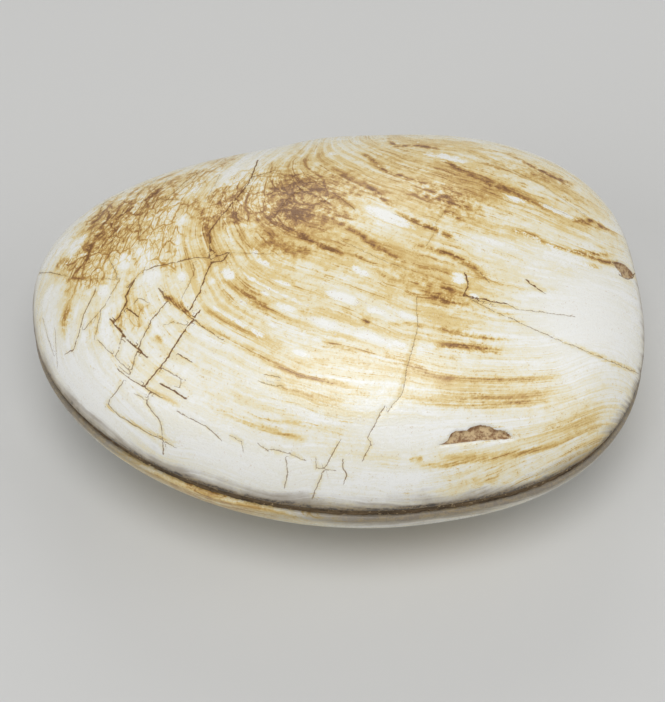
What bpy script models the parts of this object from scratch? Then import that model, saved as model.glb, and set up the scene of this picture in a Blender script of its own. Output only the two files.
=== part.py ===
"""Fossil clam: two polished stone valves, closed on the hardened sediment that fills them.

The clam lies on the small flat spot of its right valve, with the seam between the valves level.
+X runs from the front end to the rear end, +Y from the belly edge to the beaks, and +Z is up.
The origin is on the ground, under the middle of the shell.
"""

import math

import bmesh
import bpy
from mathutils import Vector

# Driving dimensions, in metres
LENGTH = 0.092
HEIGHT = 0.0668
UPPER_SWELL = 0.020
LOWER_SWELL = 0.018
WALL = 0.0042
SEAM_WIDTH = 0.0018
CLEARANCE = 0.0003
CORE_CLEARANCE = 0.0006
SEDIMENT_RECESS = 0.0005

# Edge line of the closed valves: shares of the length and height, and how square each quarter is
FRONT_SHARE = 0.573
BELLY_SHARE = 0.585
FULLNESS_BACK_REAR = 2.33
FULLNESS_BELLY_REAR = 2.64
FULLNESS_BACK_FRONT = 2.65
FULLNESS_BELLY_FRONT = 1.87

# Crown of each valve, from the crossing of the longest and the highest line, and the resting flat
CROWN = Vector((-0.004, -0.003, 0))
FLAT_SAG = 0.0007

# Beaks, and the hollow between them where the valves hinge
BEAK_X = 0.002
BEAK_SWELL = 0.0009
BEAK_RISE = 0.0075
BEAK_SPREAD = 0.007
HINGE_DEPTH = 0.0045
HINGE_RISE = 0.0035
LUNULE_REACH = 0.009
LIGAMENT_REACH = 0.018

# Worn window above the belly edge and chip at the rear end: angle, climb and half sizes
WINDOW_ANGLE = math.radians(-73)
WINDOW_CLIMB = math.radians(31.7)
WINDOW_HALF = (0.0056, 0.0016, 0.0009)
CHIP_ANGLE = math.radians(-5.8)
CHIP_CLIMB = math.radians(17.8)
CHIP_HALF = (0.0012, 0.0013, 0.0009)

# Mesh fineness and shading
SEGMENTS = 64
RINGS = 14
CORE_SEGMENTS = SEGMENTS // 2
CUTTER_SEGMENTS = 16
SHARP_ANGLE = math.radians(50)
EQUATOR_BAND = 0.001
NORMAL_STEP = math.radians(1)

FRONT_REACH = LENGTH * FRONT_SHARE
REAR_REACH = LENGTH - FRONT_REACH
BELLY_REACH = HEIGHT * BELLY_SHARE
BACK_REACH = HEIGHT - BELLY_REACH
CROSSING = Vector((FRONT_REACH - LENGTH / 2, BELLY_REACH - HEIGHT / 2, 0))

COLOURS = {
    "left_valve": ((0.80, 0.73, 0.57, 1), 0.28),
    "right_valve": ((0.76, 0.66, 0.46, 1), 0.32),
    "sediment_fill": ((0.15, 0.11, 0.07, 1), 0.85),
}


def clear_scene():
    for obj in list(bpy.data.objects):
        bpy.data.objects.remove(obj)


def new_collection(name):
    collection = bpy.data.collections.new(name)
    bpy.context.scene.collection.children.link(collection)
    return collection


def stone_material(name):
    colour, roughness = COLOURS[name]
    material = bpy.data.materials.new(name)
    material.use_nodes = True
    shader = material.node_tree.nodes["Principled BSDF"]
    shader.inputs["Base Color"].default_value = colour
    shader.inputs["Roughness"].default_value = roughness
    shader.inputs["Metallic"].default_value = 0
    return material


def new_object(name, bm, collection):
    mesh = bpy.data.meshes.new(name)
    bm.to_mesh(mesh)
    bm.free()
    mesh.shade_smooth()
    mesh.set_sharp_from_angle(angle=SHARP_ANGLE)
    obj = bpy.data.objects.new(name, mesh)
    collection.objects.link(obj)
    return obj


def edge_reach(angle):
    """Step from the crossing to the edge line at an angle from the rear, seen from above."""
    along = math.cos(angle)
    across = math.sin(angle)
    if along >= 0:
        reach_x = REAR_REACH
        fullness = FULLNESS_BACK_REAR if across >= 0 else FULLNESS_BELLY_REAR
    else:
        reach_x = FRONT_REACH
        fullness = FULLNESS_BACK_FRONT if across >= 0 else FULLNESS_BELLY_FRONT
    reach_y = BACK_REACH if across >= 0 else BELLY_REACH
    total = abs(along / reach_x) ** fullness + abs(across / reach_y) ** fullness
    radius = total ** (-1 / fullness)
    return Vector((radius * along, radius * across, 0))


def hinge_shift(x, rise):
    """How far the back wall moves: out over the beaks, and in between them down to the hinge."""
    ahead = x - BEAK_X
    reach = LUNULE_REACH if ahead < 0 else LIGAMENT_REACH
    hollow = HINGE_DEPTH * math.exp(-((ahead / reach) ** 2) - (rise / HINGE_RISE) ** 2)
    lift = (rise - BEAK_RISE) / BEAK_SPREAD
    swell = BEAK_SWELL * math.exp(-((ahead / BEAK_SPREAD) ** 2) - lift**2)
    return swell - hollow


def skin_point(angle, climb, side):
    """Point of the outer surface about the seam plane, climbing from the seam edge to the crown.

    climb runs from 0 to a quarter turn, and side is 1 for the left valve and -1 for the right.
    """
    swell = UPPER_SWELL if side > 0 else LOWER_SWELL + FLAT_SAG
    lift = math.sin(climb)
    point = CROSSING + edge_reach(angle) * math.cos(climb) + CROWN * lift**2
    rise = swell * lift
    point.y += hinge_shift(point.x, rise) * max(0, math.sin(angle))
    point.z = rise if side > 0 else -min(rise, LOWER_SWELL)
    return point


def sphere_angles(point):
    """Angle around and climb above or below the equator of a point of the unit sphere."""
    climb = math.asin(max(-1, min(1, point.z)))
    return math.atan2(point.y, point.x), climb


def build_valve(name, side, gap, collection):
    """One valve: half a sphere drawn out to the outer surface, walled inside, trimmed at the gap."""
    bm = bmesh.new()
    bmesh.ops.create_uvsphere(bm, u_segments=SEGMENTS, v_segments=2 * RINGS, radius=1)
    beyond = [vert for vert in bm.verts if side * vert.co.z < -EQUATOR_BAND]
    bmesh.ops.delete(bm, geom=beyond, context="VERTS")
    for vert in bm.verts:
        angle, climb = sphere_angles(vert.co)
        vert.co = skin_point(angle, abs(climb), side)
    valve = new_object(name, bm, collection)
    valve.data.materials.append(stone_material(name))
    wall = valve.modifiers.new("wall", "SOLIDIFY")
    wall.thickness = WALL
    wall.offset = -1
    wall.use_even_offset = True
    wall.use_quality_normals = True
    cut(valve, gap)
    return valve


def build_gap_cutter(collection):
    """Slab that parts the valves at the seam plane."""
    bm = bmesh.new()
    bmesh.ops.create_cube(bm, size=1)
    bmesh.ops.scale(bm, vec=(2 * LENGTH, 2 * HEIGHT, SEAM_WIDTH), verts=bm.verts)
    gap = new_object("gap_cutter", bm, collection)
    hide_helper(gap)
    return gap


def build_seam_plate(collection):
    """Plate of sediment between the edges of the valves, a little short of the outer surface."""
    bm = bmesh.new()
    bmesh.ops.create_cone(
        bm, cap_ends=True, segments=SEGMENTS, radius1=1, radius2=1, depth=SEAM_WIDTH - 2 * CLEARANCE
    )
    for vert in bm.verts:
        height = vert.co.z
        angle = math.atan2(vert.co.y, vert.co.x)
        edge = skin_point(angle, 0, 1) - CROSSING
        edge.length -= SEDIMENT_RECESS
        vert.co = CROSSING + edge
        vert.co.z = height
    plate = new_object("seam_plate", bm, collection)
    hide_helper(plate)
    return plate


def build_fill(name, plate, collection):
    """Sediment core inside both valves, joined with the plate that shows at the seam."""
    bm = bmesh.new()
    bmesh.ops.create_uvsphere(bm, u_segments=CORE_SEGMENTS, v_segments=2 * RINGS, radius=1)
    for vert in bm.verts:
        angle, climb = sphere_angles(vert.co)
        side = 1 if climb >= 0 else -1
        vert.co = skin_point(angle, abs(climb), side)
    bm.normal_update()
    inward = [(vert, vert.normal * (WALL + CORE_CLEARANCE)) for vert in bm.verts]
    for vert, step in inward:
        vert.co -= step
    fill = new_object(name, bm, collection)
    fill.data.materials.append(stone_material(name))
    joined = fill.modifiers.new("seam plate", "BOOLEAN")
    joined.operation = "UNION"
    joined.object = plate
    return fill


def hide_helper(obj):
    obj.hide_render = True
    obj.display_type = "WIRE"


def skin_normal(angle, climb):
    """Outward direction of the left valve's surface, from two short steps along it."""
    behind, ahead = angle - NORMAL_STEP, angle + NORMAL_STEP
    below, above = climb - NORMAL_STEP, climb + NORMAL_STEP
    around = skin_point(ahead, climb, 1) - skin_point(behind, climb, 1)
    upward = skin_point(angle, above, 1) - skin_point(angle, below, 1)
    return around.cross(upward).normalized()


def build_cutter(name, angle, climb, half, collection):
    """Squashed ball set in the left valve's surface, that cuts a shallow hollow in it."""
    bm = bmesh.new()
    bmesh.ops.create_uvsphere(
        bm, u_segments=CUTTER_SEGMENTS, v_segments=CUTTER_SEGMENTS // 2, radius=1
    )
    bmesh.ops.scale(bm, vec=half, verts=bm.verts)
    cutter = new_object(name, bm, collection)
    cutter.location = skin_point(angle, climb, 1)
    cutter.rotation_euler = skin_normal(angle, climb).to_track_quat("Z", "Y").to_euler()
    hide_helper(cutter)
    return cutter


def cut(target, cutter):
    hollow = target.modifiers.new(cutter.name, "BOOLEAN")
    hollow.operation = "DIFFERENCE"
    hollow.object = cutter


def middle_of(objects):
    """Middle of the box round the objects' own points, seen from above."""
    points = [vert.co for obj in objects for vert in obj.data.vertices]
    low_x = min(point.x for point in points)
    high_x = max(point.x for point in points)
    low_y = min(point.y for point in points)
    high_y = max(point.y for point in points)
    return (low_x + high_x) / 2, (low_y + high_y) / 2


def stand_on_ground(objects, middle, collection):
    """Parents everything to an empty at the seam plane, above the origin."""
    seat = bpy.data.objects.new("seam_plane", None)
    seat.location = (-middle[0], -middle[1], LOWER_SWELL)
    collection.objects.link(seat)
    for obj in objects:
        obj.parent = seat


def main():
    clear_scene()
    clam = new_collection("Fossil clam")
    helpers = new_collection("Clam cutters")
    gap = build_gap_cutter(helpers)
    left = build_valve("left_valve", 1, gap, clam)
    right = build_valve("right_valve", -1, gap, clam)
    window = build_cutter("window_cutter", WINDOW_ANGLE, WINDOW_CLIMB, WINDOW_HALF, helpers)
    chip = build_cutter("chip_cutter", CHIP_ANGLE, CHIP_CLIMB, CHIP_HALF, helpers)
    cut(left, window)
    cut(left, chip)
    plate = build_seam_plate(helpers)
    fill = build_fill("sediment_fill", plate, clam)
    pieces = [left, right, fill, gap, window, chip, plate]
    stand_on_ground(pieces, middle_of([left, right]), clam)


main()
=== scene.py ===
"""Fossil clam: the finish of its two polished stone valves and of the sediment in their seam.

The packed model gives every size and place. The two valves are drawn out again on finer meshes
from the same rule as the solids, marked with growth lines, stains and cracks, and given relief.
"""

import math
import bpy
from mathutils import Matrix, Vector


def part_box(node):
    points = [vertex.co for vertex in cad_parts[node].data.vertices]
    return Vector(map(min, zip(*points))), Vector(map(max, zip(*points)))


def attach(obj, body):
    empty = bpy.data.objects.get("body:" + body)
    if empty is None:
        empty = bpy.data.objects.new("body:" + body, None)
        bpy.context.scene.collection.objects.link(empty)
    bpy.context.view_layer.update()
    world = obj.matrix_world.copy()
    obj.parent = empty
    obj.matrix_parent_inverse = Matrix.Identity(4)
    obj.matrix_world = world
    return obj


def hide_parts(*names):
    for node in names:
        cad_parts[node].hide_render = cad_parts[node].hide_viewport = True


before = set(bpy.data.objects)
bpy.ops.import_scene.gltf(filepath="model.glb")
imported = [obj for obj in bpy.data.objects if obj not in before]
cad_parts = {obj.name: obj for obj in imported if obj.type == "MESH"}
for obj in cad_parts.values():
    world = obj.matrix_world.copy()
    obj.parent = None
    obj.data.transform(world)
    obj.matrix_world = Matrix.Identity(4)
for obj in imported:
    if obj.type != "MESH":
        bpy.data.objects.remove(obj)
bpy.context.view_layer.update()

from types import SimpleNamespace

import bpy
import numpy as np
from bpy.props import FloatProperty, FloatVectorProperty, IntProperty, PointerProperty
from mathutils import Vector
from mathutils.bvhtree import BVHTree

bl_info = {
    "name": "Fossil clam",
    "version": (1, 0, 0),
    "blender": (4, 5, 0),
    "location": "View3D > Sidebar > Fossil clam",
    "description": "Builds the polished stone valves of a fossil clam and the sediment in its seam",
    "category": "Add Mesh",
}

# Sizes read from the packed model, in metres
LEFT_LOW, LEFT_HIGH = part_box("left_valve")
RIGHT_LOW, RIGHT_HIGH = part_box("right_valve")
SEAM_Z = (LEFT_LOW.z + RIGHT_HIGH.z) / 2
SEAM_WIDTH = LEFT_LOW.z - RIGHT_HIGH.z
UPPER_SWELL = LEFT_HIGH.z - SEAM_Z
LOWER_SWELL = SEAM_Z - RIGHT_LOW.z

# The solids' skin has drawn in by this share where the seam trims them
SEAM_DRAW = 0.9975
LENGTH = (LEFT_HIGH.x - LEFT_LOW.x) / SEAM_DRAW
HEIGHT_SHARE = 0.7261
HEIGHT = LENGTH * HEIGHT_SHARE

# Edge line of the valves, as shares and as how square each quarter is
FRONT_SHARE = 0.573
BELLY_SHARE = 0.585
FRONT_REACH = LENGTH * FRONT_SHARE
REAR_REACH = LENGTH - FRONT_REACH
BELLY_REACH = HEIGHT * BELLY_SHARE
BACK_REACH = HEIGHT - BELLY_REACH
CROSS_X = LEFT_LOW.x + FRONT_REACH * SEAM_DRAW
CROSS_Y = LEFT_LOW.y + BELLY_REACH * SEAM_DRAW
FULLNESS = {"back_rear": 2.33, "belly_rear": 2.64, "back_front": 2.65, "belly_front": 1.87}

# Crown, beaks and hinge hollow, as on the solids
CROWN_X = -0.004
CROWN_Y = -0.003
FLAT_SAG = 0.0007
WALL = 0.0042
BEAK_X = CROSS_X - 0.0047
BEAK_SWELL = 0.00081
BEAK_RISE = 0.0075
BEAK_SPREAD = 0.007
HINGE_DEPTH = 0.0045
HINGE_RISE = 0.0035
LUNULE_REACH = 0.009
LIGAMENT_REACH = 0.018

# How the finer skins are laid out
SKIN_INSET = 0.00006
LIP_RADIUS = 0.0007
GRID_POINTS = 301
SKIN_SHARE = 134 / 150
LIP_SHARE = 9 / 150
LIP_BEND_SHARE = 0.6
CROWN_FINENESS = 0.72
FLAT_ROUNDING = 0.0002
NO_FLAT = 1.0
MERGE_REACH = 1e-6

# Relief of the skins, in metres
WAVES = 0.00006
RIDGES = 0.00003
RIDGE_COUNT = 60
PIT_DEPTH = 0.0007
PIT_ROUGHNESS = 0.0005
CRACK_DEPTH = 0.0006
RIM_ROUGHNESS = 0.00012

# Sediment: its gap to the valves, how far it lies back, its rim and its fineness
CORE_CLEARANCE = 0.0006
RECESS = 0.0005
SEDIMENT_HALF = 0.00088
SEDIMENT_ROUGHNESS = 0.0007
SEDIMENT_SEGMENTS = 1000
SEDIMENT_RINGS = 36
RIM_TURN = math.radians(45)
RIM_TURN_SLACK = 0.001

# The photograph's frame and the place it was taken from
PHOTO_WIDTH = 665
PHOTO_HEIGHT = 702
CAMERA_DISTANCE = 0.450
CAMERA_ELEVATION = math.radians(55)
CAMERA_AZIMUTH = math.radians(-7.85)
CAMERA_TARGET = Vector((-0.00176, -0.00267, SEAM_Z))
PIXELS_PER_METRE = 6660
SENSOR_WIDTH = 36
FOCAL_PIXELS = PIXELS_PER_METRE * CAMERA_DISTANCE
SHELL_MIDDLE = (PHOTO_WIDTH / 2, 330)

# Soft lights: place, width, and share of the main light's power
LIGHTS = {
    "key_light": ((-0.02, -0.22, 0.88), 0.5, 1.0),
    "fill_light": ((0.6, -0.2, 0.5), 0.6, 0.35),
    "left_light": ((-0.6, -0.25, 0.5), 0.6, 0.38),
    "back_light": ((0.1, 0.7, 0.5), 0.5, 0.28),
}
LIGHT_AIM = Vector((0, 0, 0.02))
SURROUNDINGS_STRENGTH = 0.29
FLOOR_SIZE = 6
FLOOR_COLOUR = (0.62, 0.62, 0.61, 1)
MAIN_POWER = 3.4

MM = 0.001
QUARTER_TURN = math.pi / 2
FAR = 9.0


class Field:
    """A socket of a node tree. Arithmetic on it adds the Math nodes that work it out."""

    def __init__(self, graph, socket):
        self.graph = graph
        self.socket = socket

    def math(self, operation, *others):
        inputs = {0: self, **dict(enumerate(others, 1))}
        return self.graph.node("ShaderNodeMath", {"operation": operation}, inputs)

    def flipped(self, operation, other):
        return self.graph.node("ShaderNodeMath", {"operation": operation}, {0: other, 1: self})

    def __add__(self, other):
        return self.math("ADD", other)

    def __radd__(self, other):
        return self.flipped("ADD", other)

    def __sub__(self, other):
        return self.math("SUBTRACT", other)

    def __rsub__(self, other):
        return self.flipped("SUBTRACT", other)

    def __mul__(self, other):
        return self.math("MULTIPLY", other)

    def __rmul__(self, other):
        return self.flipped("MULTIPLY", other)

    def __truediv__(self, other):
        return self.math("DIVIDE", other)

    def __rtruediv__(self, other):
        return self.flipped("DIVIDE", other)

    def __pow__(self, other):
        return self.math("POWER", other)

    def __neg__(self):
        return self.math("MULTIPLY", -1.0)


class Graph:
    """A node tree that is written as expressions."""

    def __init__(self, tree):
        self.tree = tree

    def node(self, kind, settings=None, inputs=None, output=0):
        """Adds a node, sets its settings first, then its sockets' values or links."""
        made = self.tree.nodes.new(kind)
        for name, value in (settings or {}).items():
            setattr(made, name, value)
        for key, value in (inputs or {}).items():
            socket = made.inputs[key]
            if isinstance(value, Field):
                self.tree.links.new(value.socket, socket)
            else:
                socket.default_value = value
        return Field(self, made.outputs[output])

    def output(self, field, name):
        """Another output of the node that a field comes from."""
        return Field(self, field.socket.node.outputs[name])

    def split(self, vector):
        """The three parts of a vector."""
        x = self.node("ShaderNodeSeparateXYZ", None, {0: vector})
        return x, self.output(x, "Y"), self.output(x, "Z")

    def joined(self, x, y, z):
        return self.node("ShaderNodeCombineXYZ", None, {0: x, 1: y, 2: z})

    def scaled(self, vector, factor):
        return self.node("ShaderNodeVectorMath", {"operation": "SCALE"}, {0: vector, "Scale": factor})

    def added(self, vector, other):
        return self.node("ShaderNodeVectorMath", {"operation": "ADD"}, {0: vector, 1: other})

    def bump(self, height, strength, distance):
        inputs = {"Strength": strength, "Distance": distance, "Height": height}
        return self.node("ShaderNodeBump", None, inputs)

    def noise(self, vector, scale, detail=2.0, roughness=0.5, w=None):
        """Noise from 0 to 1; with w it is noise in four dimensions."""
        settings = {"noise_dimensions": "3D" if w is None else "4D"}
        inputs = {"Vector": vector, "Scale": scale, "Detail": detail, "Roughness": roughness}
        if w is not None:
            inputs["W"] = w
        return self.node("ShaderNodeTexNoise", settings, inputs)

    def ramp(self, value, low, high):
        """0 below low, 1 above high, and smooth between; low may be the greater."""
        share = within((value - low) / (high - low))
        return share * share * (3.0 - share * 2.0)

    def mix(self, share, first, second):
        """A colour between two colours."""
        settings = {"data_type": "RGBA", "clamp_factor": True}
        return self.node("ShaderNodeMix", settings, {0: share, 6: first, 7: second}, 2)


def worked(name, numeric, *values):
    """A function's value, from nodes where any of the values is a field."""
    first = next((value for value in values if isinstance(value, Field)), None)
    if first is None:
        return numeric(*values)
    return first.graph.node("ShaderNodeMath", {"operation": name}, dict(enumerate(values)))


def cos(value):
    return worked("COSINE", np.cos, value)


def sin(value):
    return worked("SINE", np.sin, value)


def tan(value):
    return worked("TANGENT", np.tan, value)


def arcsin(value):
    return worked("ARCSINE", np.arcsin, value)


def arctan2(y, x):
    return worked("ARCTAN2", np.arctan2, y, x)


def exp(value):
    return worked("EXPONENT", np.exp, value)


def rounded(value):
    return worked("ROUND", np.round, value)


def absolute(value):
    return worked("ABSOLUTE", np.abs, value)


def least(one, other):
    return worked("MINIMUM", np.minimum, one, other)


def most(one, other):
    return worked("MAXIMUM", np.maximum, one, other)


def above(value, limit):
    """1 where the value is over the limit, and 0 elsewhere."""
    return worked("GREATER_THAN", lambda a, b: np.where(a > b, 1.0, 0.0), value, limit)


def soft_least(one, other, width):
    """The lesser of two values, rounded over a width where they cross."""
    lean = most(width - absolute(one - other), 0.0) / width
    return least(one, other) - lean * lean * (width / 4)


def pick(flag, on, off):
    """on where the flag is 1, and off where it is 0."""
    return off + (on - off) * flag


def within(value):
    return least(most(value, 0.0), 1.0)


def edge_reach(angle, form):
    """How far the edge line lies from the crossing at an angle from the rear."""
    along = cos(angle)
    across = sin(angle)
    rear = above(along, 0.0)
    back = above(across, 0.0)
    reach_x = pick(rear, form.rear_reach, form.front_reach)
    reach_y = pick(back, form.back_reach, form.belly_reach)
    rear_fullness = pick(back, form.back_rear, form.belly_rear)
    front_fullness = pick(back, form.back_front, form.belly_front)
    fullness = pick(rear, rear_fullness, front_fullness)
    total = (absolute(along) / reach_x) ** fullness + (absolute(across) / reach_y) ** fullness
    return total ** (-1.0 / fullness)


def hinge_shift(x, rise):
    """How far the back wall moves: out over the beaks, and in between them down to the hinge."""
    ahead = x - BEAK_X
    reach = pick(above(ahead, 0.0), LIGAMENT_REACH, LUNULE_REACH)
    depth = ahead / reach
    height = rise / HINGE_RISE
    hollow = HINGE_DEPTH * exp(-(depth * depth) - height * height)
    side = ahead / BEAK_SPREAD
    lift = (rise - BEAK_RISE) / BEAK_SPREAD
    return BEAK_SWELL * exp(-(side * side) - lift * lift) - hollow


def skin_point(angle, climb, inset, swell, flat_at, form):
    """Point of a valve's skin, its height measured from the seam plane."""
    lift = sin(climb)
    reach = (edge_reach(angle, form) - inset) * cos(climb)
    rise = swell * lift
    x = CROSS_X + reach * cos(angle) + CROWN_X * lift * lift
    y = CROSS_Y + reach * sin(angle) + CROWN_Y * lift * lift
    y = y + hinge_shift(x, rise) * most(sin(angle), 0.0)
    return x, y, soft_least(rise, flat_at, FLAT_ROUNDING)


FORM = SimpleNamespace(
    front_reach=FRONT_REACH,
    rear_reach=REAR_REACH,
    belly_reach=BELLY_REACH,
    back_reach=BACK_REACH,
    **FULLNESS,
)


def add_input(tree, name, default, kind="NodeSocketFloat"):
    socket = tree.interface.new_socket(name=name, in_out="INPUT", socket_type=kind)
    socket.default_value = default
    return socket.identifier


def form_inputs(tree):
    """The named sizes that every form tree takes, with their defaults."""
    for name, value in vars(FORM).items():
        add_input(tree, name, value)


def input_fields(graph):
    """The group's inputs as fields, by name."""
    group = graph.tree.nodes.new("NodeGroupInput")
    named = {socket.name: Field(graph, socket) for socket in group.outputs if socket.name}
    return SimpleNamespace(**named)


def new_tree(name):
    tree = bpy.data.node_groups.new(name, "GeometryNodeTree")
    tree.interface.new_socket(name="Geometry", in_out="INPUT", socket_type="NodeSocketGeometry")
    tree.interface.new_socket(name="Geometry", in_out="OUTPUT", socket_type="NodeSocketGeometry")
    return tree


def finish_tree(graph, geometry, material):
    """Ends a tree in smooth shading, realized instances and the material."""
    geometry = graph.node("GeometryNodeSetShadeSmooth", None, {"Geometry": geometry})
    geometry = graph.node("GeometryNodeRealizeInstances", None, {"Geometry": geometry})
    geometry = graph.node("GeometryNodeSetMaterial", None, {"Geometry": geometry, "Material": material})
    out = graph.tree.nodes.new("NodeGroupOutput")
    graph.tree.links.new(geometry.socket, out.inputs[0])


def stored(graph, geometry, name, value):
    settings = {"data_type": "FLOAT", "domain": "POINT"}
    inputs = {"Geometry": geometry, "Name": name, "Value": value}
    return graph.node("GeometryNodeStoreNamedAttribute", settings, inputs)


def valve_tree(material):
    """Draws a square grid out to a closed valve: crown, skin, rounded lip, margin and inner wall."""
    tree = new_tree("valve form")
    form_inputs(tree)
    for name, value in (("side", 1.0), ("swell", UPPER_SWELL), ("flat_at", NO_FLAT), ("wall", WALL)):
        add_input(tree, name, value)
    for name, value in (("gap", SEAM_WIDTH / 2), ("lip_radius", LIP_RADIUS), ("inset", SKIN_INSET)):
        add_input(tree, name, value)
    add_input(tree, "grid_points", GRID_POINTS, "NodeSocketInt")
    graph = Graph(tree)
    form = input_fields(graph)
    sizes = {"Size X": 2.0, "Size Y": 2.0, "Vertices X": form.grid_points, "Vertices Y": form.grid_points}
    grid = graph.node("GeometryNodeMeshGrid", None, sizes)
    x, y, _ = graph.split(graph.node("GeometryNodeInputPosition"))

    ring = most(absolute(x), absolute(y))
    turn = arctan2(y, x)
    quarter = rounded(turn / QUARTER_TURN) * QUARTER_TURN
    angle = quarter + tan(turn - quarter) * (QUARTER_TURN / 2)
    skin = least(ring / SKIN_SHARE, 1.0)
    lip = within((ring - SKIN_SHARE) / LIP_SHARE)
    inside = within((ring - SKIN_SHARE - LIP_SHARE) / (1 - SKIN_SHARE - LIP_SHARE))

    lip_climb = arcsin((form.gap + form.lip_radius) / form.swell)
    eased = skin * (CROWN_FINENESS + skin * (1 - CROWN_FINENESS))
    skin_climb = QUARTER_TURN - (QUARTER_TURN - lip_climb) * eased
    bend = least(lip / LIP_BEND_SHARE, 1.0) * QUARTER_TURN
    onward = most(lip - LIP_BEND_SHARE, 0.0) / (1 - LIP_BEND_SHARE)
    lip_inset = form.lip_radius * (1.0 - cos(bend)) + (form.wall - form.lip_radius) * onward
    lip_height = form.gap + form.lip_radius * (1.0 - sin(bend))
    low_climb = arcsin(form.gap / (form.swell - form.wall))
    wall_climb = low_climb + (QUARTER_TURN - low_climb) * inside

    on_lip = above(lip, 0.0)
    on_wall = above(inside, 0.0)
    climb = pick(on_wall, wall_climb, pick(on_lip, arcsin(lip_height / form.swell), skin_climb))
    inset = form.inset + pick(on_wall, form.wall, lip_inset)
    swell = form.swell - form.wall * on_wall
    flat_at = form.flat_at - form.wall * on_wall
    px, py, rise = skin_point(angle, climb, inset, swell, flat_at, form)
    place = graph.joined(px, py, SEAM_Z + rise * form.side)
    geometry = graph.node("GeometryNodeSetPosition", None, {"Geometry": grid, "Position": place})
    geometry = stored(graph, geometry, "ring", ring)
    flip = above(0.0, form.side)
    geometry = graph.node("GeometryNodeFlipFaces", None, {"Mesh": geometry, "Selection": flip})
    merged = {"Geometry": geometry, "Distance": MERGE_REACH}
    geometry = graph.node("GeometryNodeMergeByDistance", None, merged)
    finish_tree(graph, geometry, material)
    return tree


def set_inputs(modifier, values):
    """Sets a modifier's inputs by their sockets' identifiers."""
    for item in modifier.node_group.interface.items_tree:
        if item.item_type == "SOCKET" and item.in_out == "INPUT" and item.name in values:
            modifier[item.identifier] = values[item.name]


def plain_mesh(obj, tree, values):
    """Runs a tree on an object and keeps the result as its plain mesh."""
    modifier = obj.modifiers.new(tree.name, "NODES")
    modifier.node_group = tree
    set_inputs(modifier, values)
    depsgraph = bpy.context.evaluated_depsgraph_get()
    evaluated = obj.evaluated_get(depsgraph)
    mesh = bpy.data.meshes.new_from_object(evaluated, preserve_all_data_layers=True, depsgraph=depsgraph)
    mesh.name = obj.name
    obj.modifiers.clear()
    obj.data = mesh
    return obj


def new_piece(name):
    obj = bpy.data.objects.new(name, bpy.data.meshes.new(name))
    bpy.context.scene.collection.objects.link(obj)
    return obj


def positions(mesh):
    flat = np.zeros(len(mesh.vertices) * 3, np.float32)
    mesh.vertices.foreach_get("co", flat)
    return flat.reshape(-1, 3).astype(float)


def numbers(mesh, name):
    values = np.zeros(len(mesh.vertices), np.float32)
    mesh.attributes[name].data.foreach_get("value", values)
    return values.astype(float)


def keep_vectors(mesh, name, columns):
    attribute = mesh.attributes.new(name, "FLOAT_VECTOR", "POINT")
    attribute.data.foreach_set("vector", np.stack(columns, axis=1).astype(np.float32).ravel())


# Growth lines of the left valve, by how far the valve had grown: pixels of the photograph
GROWTH_LINES = {
    0.02: ((405, 139), (460, 144), (510, 156), (560, 177), (600, 204)),
    0.12: ((348, 140), (400, 165), (456, 183), (512, 203), (568, 225), (612, 245)),
    0.22: ((324, 143), (332, 158), (350, 168), (400, 188), (456, 209), (513, 228), (570, 249), (628, 270)),
    0.31: ((308, 146), (292, 160), (292, 175), (310, 190), (345, 205), (400, 226), (513, 264), (632, 300)),
    0.42: ((285, 151), (262, 170), (248, 192), (245, 212), (258, 232), (343, 270), (455, 305), (635, 335)),
    0.52: ((265, 154), (240, 175), (222, 200), (216, 230), (236, 272), (286, 300), (400, 340), (632, 362)),
    0.62: (
        (243, 160), (215, 182), (201, 204), (203, 265), (229, 312), (283, 339), (340, 353), (400, 366),
        (448, 378), (486, 380), (519, 380), (562, 377), (625, 366),
    ),
    0.70: (
        (195, 321), (231, 342), (273, 363), (300, 376), (344, 385), (408, 391), (448, 395), (488, 397),
        (524, 396), (559, 391), (620, 378),
    ),
    0.74: (
        (222, 163), (190, 190), (158, 245), (150, 285), (200, 345), (300, 384), (400, 400), (448, 404),
        (486, 405), (551, 401), (622, 386),
    ),
    0.84: ((200, 166), (158, 200), (118, 275), (118, 325), (180, 395), (281, 434), (400, 446), (620, 402)),
    0.92: ((183, 171), (139, 208), (84, 300), (84, 365), (170, 446), (285, 480), (400, 480), (615, 418)),
    1.00: ((120, 196), (60, 262), (38, 330), (100, 424), (200, 479), (310, 500), (470, 498), (600, 436)),
}
GROWTH_SMOOTHING = 0.02
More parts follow.
